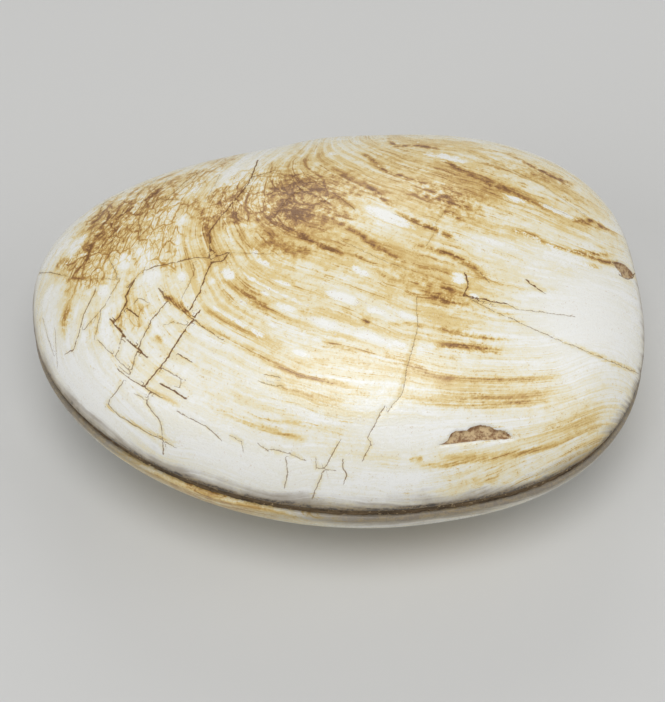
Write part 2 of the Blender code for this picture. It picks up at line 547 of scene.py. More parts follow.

# Soft stains, and along the top front edge thin bands that are partly stain and partly painted shade: pixel
# of the photograph, half length and half width in millimetres, strength
GOLD_STAINS_AND_EDGE_SHADE = (
    (300, 225, 18.0, 13.0, 1.1),
    (400, 235, 18.0, 9.0, 1.0),
    (420, 205, 18.0, 5.0, 1.0),
    (385, 175, 12.0, 6.0, 1.0),
    (318, 166, 10.0, 9.0, 1.0),
    (200, 230, 9.0, 9.0, 1.0),
    (290, 175, 9.0, 7.0, 1.0),
    (480, 185, 26.0, 9.0, 1.1),
    (440, 155, 22.0, 5.0, 0.8),
    (572, 205, 13.0, 7.0, 0.85),
    (155, 220, 14.0, 10.0, 1.0),
    (250, 290, 14.0, 8.0, 1.0),
    (345, 320, 18.0, 8.0, 0.75),
    (455, 315, 8.0, 9.0, 0.85),
    (520, 240, 12.0, 3.0, 0.55),
    (490, 388, 11.5, 4.0, 0.65),
    (575, 435, 11.0, 6.0, 0.9),
    (490, 468, 12.0, 4.0, 0.7),
    (80, 275, 9.0, 7.0, 0.85),
    (240, 405, 14.0, 4.0, 0.5),
    (390, 385, 10.0, 4.0, 0.5),
    (437, 372, 10.0, 4.0, 0.8),
    (345, 372, 9.0, 3.0, 0.35),
    (320, 385, 14.0, 4.0, 0.6),
    (180, 350, 12.0, 8.0, 0.4),
    (330, 430, 16.0, 5.0, 0.35),
    (560, 275, 4.0, 1.8, 0.6),
    (218, 243, 9.0, 7.0, 1.2),
    (236, 222, 9.0, 7.0, 1.1),
    (205, 262, 6.0, 5.0, 0.9),
    (190, 262, 9.0, 6.0, 0.9),
    # The next three thin bands along the top front edge are partly stain and partly painted shade that
    # darkens that edge.
    (120, 200, 16.0, 3.0, 0.7),
    (225, 160, 12.0, 3.0, 0.9),
    (185, 178, 10.0, 3.0, 0.9),
    (140, 300, 7.0, 7.0, 0.5),
    (590, 450, 12.0, 3.0, 0.7),
)
TAN_STAINS_AND_EDGE_SHADE = (
    (232, 225, 8.0, 6.0, 0.7),
    (205, 228, 6.0, 6.0, 0.6),
    (250, 275, 8.0, 6.0, 0.4),
    (330, 262, 12.0, 5.5, 0.45),
    (222, 246, 6.0, 5.0, 0.6),
    (258, 240, 6.0, 4.0, 0.5),
    (424, 197, 9.0, 4.0, 0.5),
    (300, 318, 12.0, 4.0, 0.5),
    (457, 300, 7.0, 6.0, 0.6),
    (462, 345, 7.0, 3.0, 0.6),
    (350, 350, 12.0, 4.0, 0.5),
    (250, 325, 8.0, 4.0, 0.4),
    (400, 290, 8.0, 4.0, 0.7),
    (480, 392, 9.0, 3.0, 0.5),
    (480, 180, 18.0, 5.0, 0.9),
    (560, 190, 9.0, 4.0, 0.45),
    (400, 160, 12.0, 4.0, 1.0),
    (350, 180, 10.0, 5.0, 0.9),
    (318, 172, 7.0, 7.0, 0.9),
    (520, 235, 12.0, 2.5, 0.6),
    (575, 430, 9.0, 2.0, 0.45),
    (518, 473, 1.2, 0.6, 1.2),
    (600, 247, 1.0, 0.4, 0.9),
    (553, 289, 1.0, 0.4, 0.9),
    (420, 148, 12.0, 3.0, 0.5),
    (300, 165, 9.0, 4.0, 0.7),
    (120, 230, 10.0, 5.0, 0.8),
    (66, 318, 2.6, 1.1, 1.3),
    (74, 270, 2.0, 2.0, 1.0),
    # A thin band along the top front edge, partly stain and partly painted shade that darkens that edge.
    (110, 208, 12.0, 2.5, 0.7),
    (127, 300, 2.5, 1.4, 1.0),
    (576, 456, 9.0, 1.5, 0.6),
    (437, 283, 5.0, 2.4, 0.4),
    # A thin band along the top front edge, partly stain and partly painted shade that darkens that edge.
    (205, 180, 9.0, 2.0, 0.7),
    (90, 425, 12.0, 1.2, 0.5),
)
BROWN_STAINS = (
    (302, 203, 8.0, 6.0, 0.75),
    (324, 200, 4.0, 4.0, 0.8),
    (276, 215, 2.6, 2.0, 0.8),
    (276, 245, 5.0, 2.0, 0.65),
    (225, 205, 3.5, 3.0, 0.6),
    (446, 197, 6.5, 2.4, 0.8),
    (350, 185, 6.0, 2.5, 0.5),
    (445, 296, 4.0, 1.5, 0.5),
    (530, 172, 7.0, 1.5, 0.55),
    (105, 235, 6.0, 2.5, 0.65),
    (66, 316, 3.4, 1.2, 0.7),
    (312, 192, 5.0, 4.0, 0.6),
    (425, 283, 4.0, 1.6, 0.45),
    (92, 222, 6.0, 1.4, 0.5),
)
WHITE_STAINS = (
    (385, 214, 4.2, 1.3, 1.2),
    (517, 200, 2.7, 0.7, 1.0),
    (557, 211, 3.2, 0.8, 1.0),
    (123, 261, 1.7, 1.7, 1.3),
    (146, 259, 1.9, 1.1, 1.3),
    (104, 291, 1.2, 1.2, 1.1),
    (150, 275, 2.6, 1.8, 1.0),
    (182, 276, 1.2, 1.0, 1.1),
    (228, 274, 1.3, 0.9, 1.2),
    (212, 281, 0.8, 0.6, 1.0),
    (266, 294, 1.1, 0.5, 1.0),
    (286, 308, 2.3, 0.8, 1.1),
    (243, 302, 1.1, 0.5, 0.9),
    (325, 324, 2.4, 1.0, 1.2),
    (300, 353, 2.0, 0.7, 1.0),
    (317, 339, 1.2, 0.6, 1.0),
    (273, 325, 1.3, 0.6, 0.9),
    (343, 297, 2.4, 0.9, 1.1),
    (362, 272, 2.0, 0.8, 0.9),
    (378, 312, 2.1, 0.7, 1.0),
    (406, 316, 1.8, 0.6, 0.9),
    (372, 337, 3.0, 0.9, 1.1),
    (396, 343, 2.0, 0.6, 1.1),
    (420, 349, 1.0, 0.6, 1.0),
    (385, 375, 3.5, 2.0, 0.2),
    (250, 238, 1.2, 0.6, 0.6),
    (262, 262, 3.0, 0.7, 0.8),
    (283, 283, 2.0, 0.5, 0.8),
    (459, 279, 1.4, 1.1, 1.0),
    (475, 296, 1.0, 0.6, 0.8),
    (590, 320, 9.0, 9.0, 0.9),
    (560, 255, 7.0, 2.5, 0.8),
    (330, 155, 1.0, 1.8, 0.5),
    (231, 174, 2.6, 1.3, 0.8),
    (195, 188, 3.0, 1.5, 0.75),
    (170, 212, 3.5, 1.6, 0.7),
    (75, 245, 3.0, 1.6, 0.9),
    (240, 460, 22.0, 4.0, 0.7),
    (90, 400, 12.0, 5.0, 0.7),
    (47, 298, 3.0, 1.4, 0.9),
    (400, 435, 8.0, 3.0, 0.7),
    (448, 158, 4.0, 0.9, 0.8),
    (495, 243, 5.0, 1.0, 0.9),
)

# Drawn strokes along the growth: half width in millimetres, strength, then pixels from end to end
TAN_STROKES = (
    (0.50, 1.2, (195, 321), (231, 341), (273, 363), (300, 376), (344, 385), (370, 395)),
    (0.35, 0.9, (287, 388), (313, 396), (344, 401)),
    (0.30, 0.8, (270, 382), (292, 391), (315, 399), (344, 403)),
    (0.45, 1.0, (203, 401), (222, 412), (252, 424), (281, 433), (308, 441)),
    (0.25, 0.7, (249, 418), (294, 422), (344, 434)),
    (0.50, 1.2, (412, 369), (448, 378), (486, 380), (519, 380), (562, 377)),
    (0.25, 0.9, (408, 391), (448, 395), (488, 397), (524, 396), (559, 391)),
    (0.50, 1.2, (402, 399), (448, 404), (486, 405), (519, 403), (551, 401)),
    (0.35, 1.1, (418, 466), (448, 466), (477, 461), (505, 455), (540, 449), (572, 441)),
    (0.20, 0.7, (439, 458), (465, 458), (490, 454)),
    (0.60, 0.6, (465, 481), (505, 483), (540, 477), (566, 466)),
    (0.35, 1.0, (104, 405), (121, 416), (155, 435), (176, 443), (195, 455)),
    (0.35, 0.9, (146, 388), (167, 399), (180, 407)),
    (0.40, 1.0, (287, 323), (315, 336), (344, 348), (383, 355)),
    (0.30, 0.8, (195, 304), (231, 325), (260, 338)),
    (0.30, 1.0, (387, 322), (429, 327)),
    (0.35, 0.9, (383, 355), (408, 363), (431, 374)),
    (0.40, 1.0, (572, 221), (593, 225), (610, 233), (618, 236)),
    (0.35, 0.9, (465, 147), (505, 153), (540, 164)),
    (0.35, 0.9, (330, 248), (355, 256), (380, 265), (402, 269)),
    (0.35, 0.9, (235, 185), (266, 214), (289, 231), (344, 256)),
    (0.35, 0.45, (268, 267), (302, 289), (330, 301)),
    (0.35, 0.45, (205, 273), (231, 283), (266, 306), (300, 329), (344, 348)),
    (0.28, 0.8, (553, 337), (575, 346), (596, 355), (615, 363), (637, 373)),
    (0.30, 0.7, (131, 288), (126, 300), (120, 316), (114, 322)),
)
BROWN_STROKES = (
    (0.20, 0.9, (387, 138), (395, 146), (418, 146), (439, 149)),
    (0.45, 0.8, (362, 153), (385, 170), (410, 180), (439, 187)),
    (0.22, 0.7, (431, 151), (448, 162), (460, 170), (477, 178), (498, 185), (519, 191)),
    (0.28, 0.75, (477, 178), (520, 197), (564, 216)),
    (0.50, 0.9, (507, 153), (532, 166), (551, 176), (574, 185)),
    (0.22, 0.9, (572, 220), (593, 221), (610, 231)),
    (0.35, 1.0, (511, 229), (532, 235), (551, 246), (578, 252), (612, 256)),
    (0.28, 1.2, (551, 246), (583, 254), (604, 262), (620, 263)),
    (0.20, 0.9, (570, 261), (602, 268)),
    (0.35, 1.0, (362, 180), (383, 199), (395, 208)),
    (0.20, 1.1, (394, 212), (418, 223), (439, 231), (456, 239)),
    (0.22, 0.8, (330, 193), (353, 193), (370, 199)),
    (0.90, 0.8, (408, 191), (439, 199), (477, 210)),
    (0.35, 0.9, (444, 210), (465, 222)),
    (0.25, 0.8, (414, 244), (448, 254), (469, 263), (486, 279)),
    (0.25, 0.8, (330, 218), (351, 229), (378, 248), (406, 263)),
    (0.35, 0.9, (423, 292), (448, 300), (469, 305)),
    (0.30, 0.8, (437, 285), (465, 296)),
    (0.25, 0.7, (431, 327), (477, 336), (509, 342)),
    (0.20, 0.9, (433, 345), (469, 347), (503, 351)),
    (0.25, 0.8, (362, 318), (370, 324)),
    (0.30, 1.0, (163, 294), (180, 306), (193, 319)),
    (0.20, 0.25, (218, 277), (243, 292), (266, 306), (283, 319)),
    (0.30, 0.5, (155, 334), (163, 342)),
    (0.40, 0.9, (94, 239), (111, 214), (134, 191), (151, 181)),
    (0.25, 0.9, (87, 265), (89, 248), (108, 225)),
    (0.22, 0.9, (113, 221), (129, 210), (146, 199), (167, 185), (182, 174)),
    (0.22, 0.8, (157, 181), (182, 170)),
    (0.30, 0.9, (195, 193), (195, 204), (203, 218), (209, 244)),
    (0.25, 0.9, (285, 223), (315, 244), (344, 256)),
    (0.30, 0.5, (410, 460), (423, 459)),
)
WHITE_STROKES = (
    (0.30, 0.45, (201, 300), (231, 317), (266, 338)),
    (0.50, 0.5, (178, 338), (231, 365), (283, 386)),
    (0.30, 0.45, (225, 262), (262, 285), (300, 303), (325, 309)),
)
STROKE_TAPER = 0.4
TAN_STROKE_STRENGTH = 2.1
BROWN_STROKE_STRENGTH = 1.3
WHITE_STROKE_STRENGTH = 1.5
THINNEST_STROKE = 0.42

# Where fine brown veins make a net: pixel, half sizes in millimetres, strength
VEIN_NETS = (
    (140, 222, 9.0, 9.0, 1.0),
    (90, 262, 6.0, 6.0, 0.8),
    (245, 195, 8.0, 7.0, 0.9),
    (305, 185, 6.0, 5.0, 0.6),
    (120, 320, 6.0, 8.0, 0.35),
    (185, 186, 8.0, 3.0, 0.7),
    (218, 168, 7.0, 2.5, 0.6),
    (440, 200, 6.0, 4.0, 0.3),
)

# Cracks: width in millimetres, then pixels of the photograph from end to end
CRACKS = {
    "long front crack": (0.2, (257, 162), (248, 184), (209, 231), (211, 261), (199, 293), (191, 307)),
    "long front crack, lower": (0.22, (198, 313), (184, 331), (165, 361), (145, 385)),
    "crack beside it": (0.17, (160, 291), (167, 302), (151, 320), (138, 348), (130, 373)),
    "crack along the growth": (0.16, (160, 291), (180, 309), (203, 327), (220, 338)),
    "corner at the front": (0.22, (134, 280), (125, 296), (127, 301), (119, 316), (113, 323)),
    "thick dashes": (0.3, (112, 321), (125, 337), (133, 345), (145, 355)),
    "short fork": (0.14, (122, 332), (118, 351), (115, 357)),
    "front step": (0.14, (100, 343), (115, 357), (129, 371)),
    "front ledge": (0.18, (120, 371), (131, 379), (150, 391), (159, 396)),
    "ledge down": (0.15, (122, 383), (107, 404), (120, 417), (147, 433), (173, 446)),
    "branch down": (0.17, (150, 391), (146, 404), (159, 420), (162, 430), (163, 451)),
    "small link": (0.13, (137, 395), (146, 400)),
    "dark dash": (0.28, (163, 385), (171, 389), (183, 397)),
    "belly front": (0.15, (180, 413), (205, 426), (219, 438)),
    "end crack one": (0.13, (43, 320), (47, 336), (53, 353)),
    "end crack two": (0.13, (55, 331), (56, 345), (57, 365)),
    "end crack three": (0.17, (95, 291), (83, 315), (79, 333), (73, 349), (67, 353)),
    "end crack four": (0.13, (101, 311), (97, 327), (95, 336)),
    "end crack five": (0.13, (119, 280), (105, 305), (84, 329)),
    "square corner": (0.14, (161, 367), (171, 373), (182, 379), (180, 385)),
    "level crack": (0.16, (40, 273), (48, 272), (61, 275)),
    "level crack, middle": (0.1, (61, 275), (84, 280), (104, 278), (118, 280)),
    "level crack, inner": (0.16, (143, 271), (157, 266), (180, 261), (196, 257), (210, 258)),
    "small knot": (0.18, (209, 245), (217, 256), (229, 252), (222, 261), (211, 261)),
    "knot tail": (0.1, (229, 252), (262, 254), (288, 252), (306, 251)),
    "middle crack": (0.12, (417, 300), (418, 328), (409, 361), (402, 395), (390, 409)),
    "middle crack, lower": (0.14, (383, 409), (368, 436), (371, 445), (364, 458)),
    "belly crack": (0.15, (339, 443), (325, 467), (313, 496)),
    "belly link": (0.13, (316, 462), (316, 468), (332, 470)),
    "belly hook": (0.16, (343, 463), (343, 469), (347, 474), (345, 481)),
    "belly tick": (0.14, (286, 461), (287, 472), (285, 485)),
    "dash one": (0.14, (233, 437), (242, 442), (243, 448)),
    "dash two": (0.13, (261, 446), (267, 451)),
    "dash three": (0.13, (272, 450), (285, 453)),
    "dash four": (0.13, (293, 455), (302, 459)),
    "long rear crack": (0.13, (472, 300), (496, 312), (552, 337), (596, 355), (637, 373)),
    "rear growth beads": (0.26, (482, 298), (492, 301), (503, 303)),
    "rear growth crack": (0.13, (508, 304), (517, 309), (543, 312), (571, 316)),
    "spot edge": (0.2, (466, 276), (469, 285), (464, 295), (478, 299)),
    "back crack": (0.09, (443, 213), (437, 222), (436, 230), (428, 243)),
    "small rear dash": (0.22, (529, 282), (542, 291)),
    "chip rim": (0.2, (622, 276), (628, 279), (634, 277), (638, 273)),
    "upper front crack": (0.15, (254, 176), (272, 171)),
    "upper front crack, left": (0.1, (219, 176), (215, 184), (206, 199)),
    "rear top line": (0.1, (470, 152), (505, 166), (545, 186), (583, 213)),
    "rear top line, lower": (0.1, (470, 172), (520, 192), (566, 214)),
    "rear top vein": (0.11, (397, 215), (425, 226), (454, 239)),
    "gold vein": (0.1, (345, 242), (380, 259), (403, 268)),
    "spot vein": (0.12, (462, 264), (478, 270), (487, 280)),
    "front net one": (0.13, (176, 199), (157, 199), (144, 208), (138, 222), (141, 231), (139, 241)),
    "front net two": (0.12, (115, 189), (104, 199), (100, 212), (92, 229), (87, 244), (89, 257)),
    "front net three": (
        0.13, (155, 180), (138, 193), (125, 208), (115, 223), (113, 239), (108, 256), (118, 278),
    ),
    "front net four": (0.12, (168, 179), (157, 191), (146, 204), (136, 214)),
    "front net five": (0.13, (198, 172), (186, 181), (173, 193), (160, 199)),
    "front net six": (0.12, (144, 269), (136, 277), (127, 286)),
    "inner front crack": (0.12, (193, 265), (194, 274), (188, 285), (183, 295)),
    "small hook": (0.13, (136, 301), (139, 297), (146, 301)),
    "dark dash, upper": (0.26, (128, 309), (136, 315)),
    "dark dash, middle": (0.2, (180, 355), (189, 360)),
    "small level line": (0.11, (167, 324), (174, 322), (186, 326)),
    "umbo vein": (0.13, (304, 186), (291, 195), (281, 207), (275, 215)),
    "umbo hook": (0.13, (318, 203), (330, 197), (342, 199), (353, 208)),
    "belly dash": (0.13, (262, 382), (270, 385), (279, 386)),
    "belly dash, upper": (0.13, (268, 375), (277, 377)),
}

WINDOW_OUTLINE = (
    (439, 445), (448, 441), (451, 434), (456, 431), (467, 431), (470, 428), (481, 425), (491, 427),
    (496, 430), (505, 431), (510, 435), (514, 439), (498, 440), (477, 441), (456, 444),
)
CHIP_OUTLINE = (
    (612, 261), (619, 261), (626, 264), (631, 269), (635, 274), (633, 278), (624, 277), (620, 271),
    (616, 266),
)
PIT_EDGE = 0.35
PIT_EDGE_SHARE = 0.35

# Marks of the right valve, which the photograph hardly shows: millimetres from the crossing
RIGHT_GOLD = (
    (-12, 8, 20.0, 10.0, 1.0),
    (18, 8, 18.0, 6.0, 0.9),
    (-26, -14, 14.0, 6.0, 0.9),
    (-33, -35, 20.0, 6.0, 1.2),
    (14, -12, 10.0, 7.0, 0.7),
    (0, 0, 34.0, 22.0, 0.7),
    (6, -32, 30.0, 5.0, 0.9),
    (30, -8, 12.0, 14.0, 0.7),
)
RIGHT_TAN = (
    (-22, -18, 12.0, 4.0, 0.9),
    (-10, 5, 14.0, 6.0, 0.7),
    (14, -6, 12.0, 5.0, 0.6),
    (-30, 6, 6.0, 6.0, 0.7),
    (10, 20, 12.0, 4.0, 0.6),
    (-34, -20, 12.0, 4.0, 0.9),
    (-33, -36, 16.0, 4.5, 1.6),
    (2, -34, 24.0, 3.0, 0.7),
    (32, -14, 9.0, 5.0, 0.6),
)
RIGHT_BROWN = (
    (-4, 18, 6.0, 4.0, 0.8),
    (18, 12, 8.0, 1.2, 0.8),
    (-26, -4, 4.0, 1.6, 0.6),
)
RIGHT_WHITE = (
    (24, -18, 10.0, 6.0, 0.9),
    (-6, -26, 12.0, 3.0, 0.8),
    (2, -4, 4.0, 1.2, 0.9),
    (-14, 10, 2.0, 1.2, 0.9),
)
RIGHT_NETS = ((-16, 10, 12.0, 9.0, 1.0), (12, 16, 8.0, 5.0, 0.4))
RIGHT_CRACKS = {
    "long crack": (0.18, (-20, 20), (-17, 10), (-22, 0), (-26, -12), (-30, -20)),
    "cross crack": (0.15, (-34, 2), (-24, 0), (-14, 3), (-4, 1)),
    "rear crack": (0.15, (8, -2), (18, -8), (30, -12), (40, -17)),
    "belly crack": (0.14, (-2, -16), (-1, -24), (-4, -34)),
}


def srgb(red, green, blue):
    """A colour as seen on a screen, from 0 to 255, made linear."""
    values = [channel / 255 for channel in (red, green, blue)]
    return [v / 12.92 if v <= 0.04045 else ((v + 0.055) / 1.055) ** 2.4 for v in values] + [1.0]


def camera_axes():
    """The photograph's viewing direction, its right and its up."""
    level = math.cos(CAMERA_ELEVATION)
    forward = Vector(
        (-math.sin(CAMERA_AZIMUTH) * level, math.cos(CAMERA_AZIMUTH) * level, -math.sin(CAMERA_ELEVATION))
    )
    right = forward.cross(Vector((0, 0, 1))).normalized()
    return forward, right, right.cross(forward)


def spread_table():
    """Length of a skin from its crown down to each climb, as a share of the edge reach."""
    climbs = np.linspace(0, QUARTER_TURN, 200)
    flatness = (UPPER_SWELL / ((FRONT_REACH + BELLY_REACH) / 2)) ** 2
    speed = np.sqrt(np.sin(climbs) ** 2 + flatness * np.cos(climbs) ** 2)
    steps = (speed[1:] + speed[:-1]) / 2 * np.diff(climbs)
    return climbs, np.concatenate([np.cumsum(steps[::-1])[::-1], [0]])


def unrolled(points, side):
    """Points of a skin laid out flat round its crown, in millimetres."""
    swell = UPPER_SWELL if side > 0 else LOWER_SWELL + FLAT_SAG
    lift = np.clip(side * (points[:, 2] - SEAM_Z) / swell, 0, 1)
    x = points[:, 0] - CROSS_X - CROWN_X * lift**2
    y = points[:, 1] - CROSS_Y - CROWN_Y * lift**2
    angle = np.arctan2(y, x)
    reach = edge_reach(angle, FORM)
    share = np.clip(np.hypot(x, y) / reach, 0, 1)
    steep = np.clip((share - 0.6) / 0.25, 0, 1)
    climb = (1 - steep) * np.arccos(share) + steep * np.arcsin(lift)
    climbs, spread = spread_table()
    radius = reach * np.interp(climb, climbs, spread) / MM
    return np.stack([radius * np.cos(angle), radius * np.sin(angle)], axis=1)


# Share of the way to the shell's middle that a pixel off the outline steps
DRAW_IN = 0.01


class PhotoView:
    """Finds where pixels of the photograph lie on the left valve."""

    def __init__(self, mesh):
        faces = [tuple(face.vertices) for face in mesh.polygons]
        self.tree = BVHTree.FromPolygons([vert.co for vert in mesh.vertices], faces)
        self.forward, self.right, self.up = camera_axes()
        self.eye = CAMERA_TARGET - self.forward * CAMERA_DISTANCE

    def hit(self, x, y):
        """Where a pixel's line of sight meets the valve, or None."""
        side = (x - PHOTO_WIDTH / 2) / FOCAL_PIXELS
        rise = (PHOTO_HEIGHT / 2 - y) / FOCAL_PIXELS
        direction = (self.forward + self.right * side + self.up * rise).normalized()
        return self.tree.ray_cast(self.eye, direction)[0]

    def lay(self, pixels):
        """Pixels laid out flat on the valve. One just off the outline is drawn in to it."""
        found = []
        for x, y in pixels:
            place = self.hit(x, y)
            while place is None:
                x += (SHELL_MIDDLE[0] - x) * DRAW_IN
                y += (SHELL_MIDDLE[1] - y) * DRAW_IN
                place = self.hit(x, y)
            found.append(place)
        return unrolled(np.array(found, float), 1)


def bending(distance):
    """Thin-plate bending of a sheet at a distance from a pin."""
    safe = np.maximum(distance, 1e-6)
    return safe**2 * np.log(safe)


# The growth is eased in centimetres, and this is one in millimetres
PIN_UNIT = 10


class GrowthField:
    """How far the valve had grown at each point, eased between the listed growth lines."""

    def __init__(self, view):
        self.pins = []
        values = []
        for grown, pixels in GROWTH_LINES.items():
            laid = view.lay(pixels)
            self.pins.append(laid)
            values += [grown] * len(laid)
        self.pins = np.concatenate(self.pins) / PIN_UNIT
        count = len(self.pins)
        gaps = np.linalg.norm(self.pins[:, None] - self.pins[None], axis=2)
        flat = np.column_stack([np.ones(count), self.pins])
        system = np.zeros((count + 3, count + 3))
        system[:count, :count] = bending(gaps) + np.eye(count) * GROWTH_SMOOTHING
        system[:count, count:] = flat
        system[count:, :count] = flat.T
        self.weights = np.linalg.solve(system, np.array(values + [0, 0, 0]))

    def at(self, points):
        """Growth from 0 at the beak to 1 at the edge, at points laid out flat."""
        points = points / PIN_UNIT
        count = len(self.pins)
        total = self.weights[count] + points @ self.weights[count + 1 :]
        for pin, weight in zip(self.pins, self.weights[:count]):
            total = total + weight * bending(np.hypot(*(points - pin).T))
        return total


# How far a stain reaches at all, in its own longer half size
STAIN_REACH = 1.6


def slope_at(field, centre):
    """How steeply the growth rises each way at a place, a millimetre."""
    slope_x = field.at(centre + [[0.5, 0]]) - field.at(centre - [[0.5, 0]])
    slope_y = field.at(centre + [[0, 0.5]]) - field.at(centre - [[0, 0.5]])
    return slope_x[0], slope_y[0]


def stain_mask(points, growth, field, stains):
    """Soft patches that lie along the growth lines: 1 in their middles, 0 away from them."""
    mask = np.zeros(len(points))
    for x, y, half_length, half_width, strength in stains:
        centre = np.array([[x, y]], float)
        middle = field.at(centre)[0]
        slope_x, slope_y = slope_at(field, centre)
        slope = math.hypot(slope_x, slope_y)
        along = (points[:, 0] - x) * -slope_y / slope + (points[:, 1] - y) * slope_x / slope
        across = (growth - middle) / slope
        away = (along / half_length) ** 2 + (across / half_width) ** 2
        reach = STAIN_REACH * max(half_length, half_width)
        distance = np.hypot(points[:, 0] - x, points[:, 1] - y) / reach
        mask = np.maximum(mask, strength * np.exp(-away - distance**4))
    return mask


def stroke_mask(points, strokes):
    """Soft strokes that taper to both ends: their strength in their middles, 0 away from them."""
    mask = np.zeros(len(points))
    for half_width, strength, route in strokes:
        steps = np.linalg.norm(np.diff(route, axis=0), axis=1)
        starts = np.concatenate([[0], np.cumsum(steps)])
        for start, end, before in zip(route[:-1], route[1:], starts):
            step = end - start
            length = max(np.linalg.norm(step), 1e-6)
            along = np.clip((points - start) @ step / length, 0, length)
            distance = np.linalg.norm(points - start - along[:, None] * step / length, axis=1)
            taper = np.sin(np.clip((before + along) / starts[-1], 0, 1) * math.pi) ** STROKE_TAPER
            wide = max(half_width, THINNEST_STROKE)
            mask = np.maximum(mask, strength * taper * np.exp(-((distance / wide) ** 2)))
    return mask


def crack_lines(points, routes):
    """Signed and plain distance to the nearest crack in millimetres, and that crack's width."""
    side = np.full(len(points), FAR)
    near = np.full(len(points), FAR)
    width = np.zeros(len(points))
    for crack_width, route in routes:
        for start, end in zip(route[:-1], route[1:]):
            step = end - start
            length = max(np.linalg.norm(step), 1e-6)
            unit = step / length
            offset = points - start
            along = np.clip(offset @ unit, 0, length)
            distance = np.linalg.norm(offset - along[:, None] * unit, axis=1)
            signed = offset[:, 0] * unit[1] - offset[:, 1] * unit[0]
            closer = distance < near
            near = np.where(closer, distance, near)
            side = np.where(closer, signed, side)
            width = np.where(closer, crack_width, width)
    return side, near, width


def subdivided(pixels, longest=8):
    """A route with points added, so that it follows the surface between its own points."""
    route = [pixels[0]]
    for start, end in zip(pixels[:-1], pixels[1:]):
        parts = max(1, math.ceil(math.dist(start, end) / longest))
        for index in range(1, parts + 1):
            share = index / parts
            route.append((start[0] + (end[0] - start[0]) * share, start[1] + (end[1] - start[1]) * share))
    return route


def inside_mask(points, outline):
    """1 inside an outline, easing to 0 at its edge."""
    inside = np.zeros(len(points), bool)
    near = np.full(len(points), FAR)
    for start, end in zip(outline, np.roll(outline, -1, axis=0)):
        crosses = (start[1] > points[:, 1]) != (end[1] > points[:, 1])
        drop = end[1] - start[1] if abs(end[1] - start[1]) > 1e-9 else 1e-9
        at = start[0] + (points[:, 1] - start[1]) * (end[0] - start[0]) / drop
        inside ^= crosses & (points[:, 0] < at)
        unit = end - start
        share = np.clip((points - start) @ unit / (unit @ unit), 0, 1)
        near = np.minimum(near, np.linalg.norm(points - start - share[:, None] * unit, axis=1))
    signed = np.where(inside, near, -near)
    return np.clip(PIT_EDGE_SHARE + signed / PIT_EDGE, 0, 1)


def marks_of_left_valve(mesh):
    """Growth, stains, cracks and pits of the left valve, from the photograph's listed pixels."""
    points = unrolled(positions(mesh), 1)
    view = PhotoView(mesh)
    field = GrowthField(view)
    growth = field.at(points)

    def stained(stains, strokes=(), drawn=1.0):
        laid = view.lay([stain[:2] for stain in stains])
        placed = [(*place, *stain[2:]) for place, stain in zip(laid, stains)]
        routes = [(stroke[0], stroke[1], view.lay(subdivided(stroke[2:], 16))) for stroke in strokes]
        return most(stain_mask(points, growth, field, placed), stroke_mask(points, routes) * drawn)

    masks = [
        stained(TAN_STAINS_AND_EDGE_SHADE, TAN_STROKES, TAN_STROKE_STRENGTH),
        stained(BROWN_STAINS, BROWN_STROKES, BROWN_STROKE_STRENGTH),
        stained(WHITE_STAINS, WHITE_STROKES, WHITE_STROKE_STRENGTH),
    ]
    routes = [(crack[0], view.lay(subdivided(crack[1:]))) for crack in CRACKS.values()]
    pit = most(inside_mask(points, view.lay(WINDOW_OUTLINE)), inside_mask(points, view.lay(CHIP_OUTLINE)))
    return field, SimpleNamespace(
        growth=growth, masks=masks, gold=stained(GOLD_STAINS_AND_EDGE_SHADE), net=stained(VEIN_NETS),
        lines=crack_lines(points, routes), pit=pit,
    )


def marks_of_right_valve(mesh, field):
    """The same marks for the right valve, which has growth lines like the left valve's."""
    points = unrolled(positions(mesh), -1)
    growth = field.at(points)
    masks = [stain_mask(points, growth, field, s) for s in (RIGHT_TAN, RIGHT_BROWN, RIGHT_WHITE)]
    gold, net = (stain_mask(points, growth, field, s) for s in (RIGHT_GOLD, RIGHT_NETS))
    routes = [(crack[0], np.array(crack[1:], float)) for crack in RIGHT_CRACKS.values()]
    return SimpleNamespace(
        growth=growth, masks=masks, gold=gold, net=net, lines=crack_lines(points, routes),
        pit=np.zeros(len(points)),
    )


def store_marks(mesh, marks):
    """Keeps the marks on the mesh for its relief and its material to read."""
    rim = np.abs(positions(mesh)[:, 2] - SEAM_Z) / MM
    outer = np.where(numbers(mesh, "ring") <= SKIN_SHARE + LIP_SHARE * LIP_BEND_SHARE, 1.0, 0.0)
    keep_vectors(mesh, "place", [marks.growth, rim, marks.pit])
    keep_vectors(mesh, "stains", marks.masks)
    keep_vectors(mesh, "lines", marks.lines)
    keep_vectors(mesh, "extent", [marks.net, outer, marks.gold])


def named_vector(graph, name):
    return graph.node("GeometryNodeInputNamedAttribute", {"data_type": "FLOAT_VECTOR"}, {"Name": name})


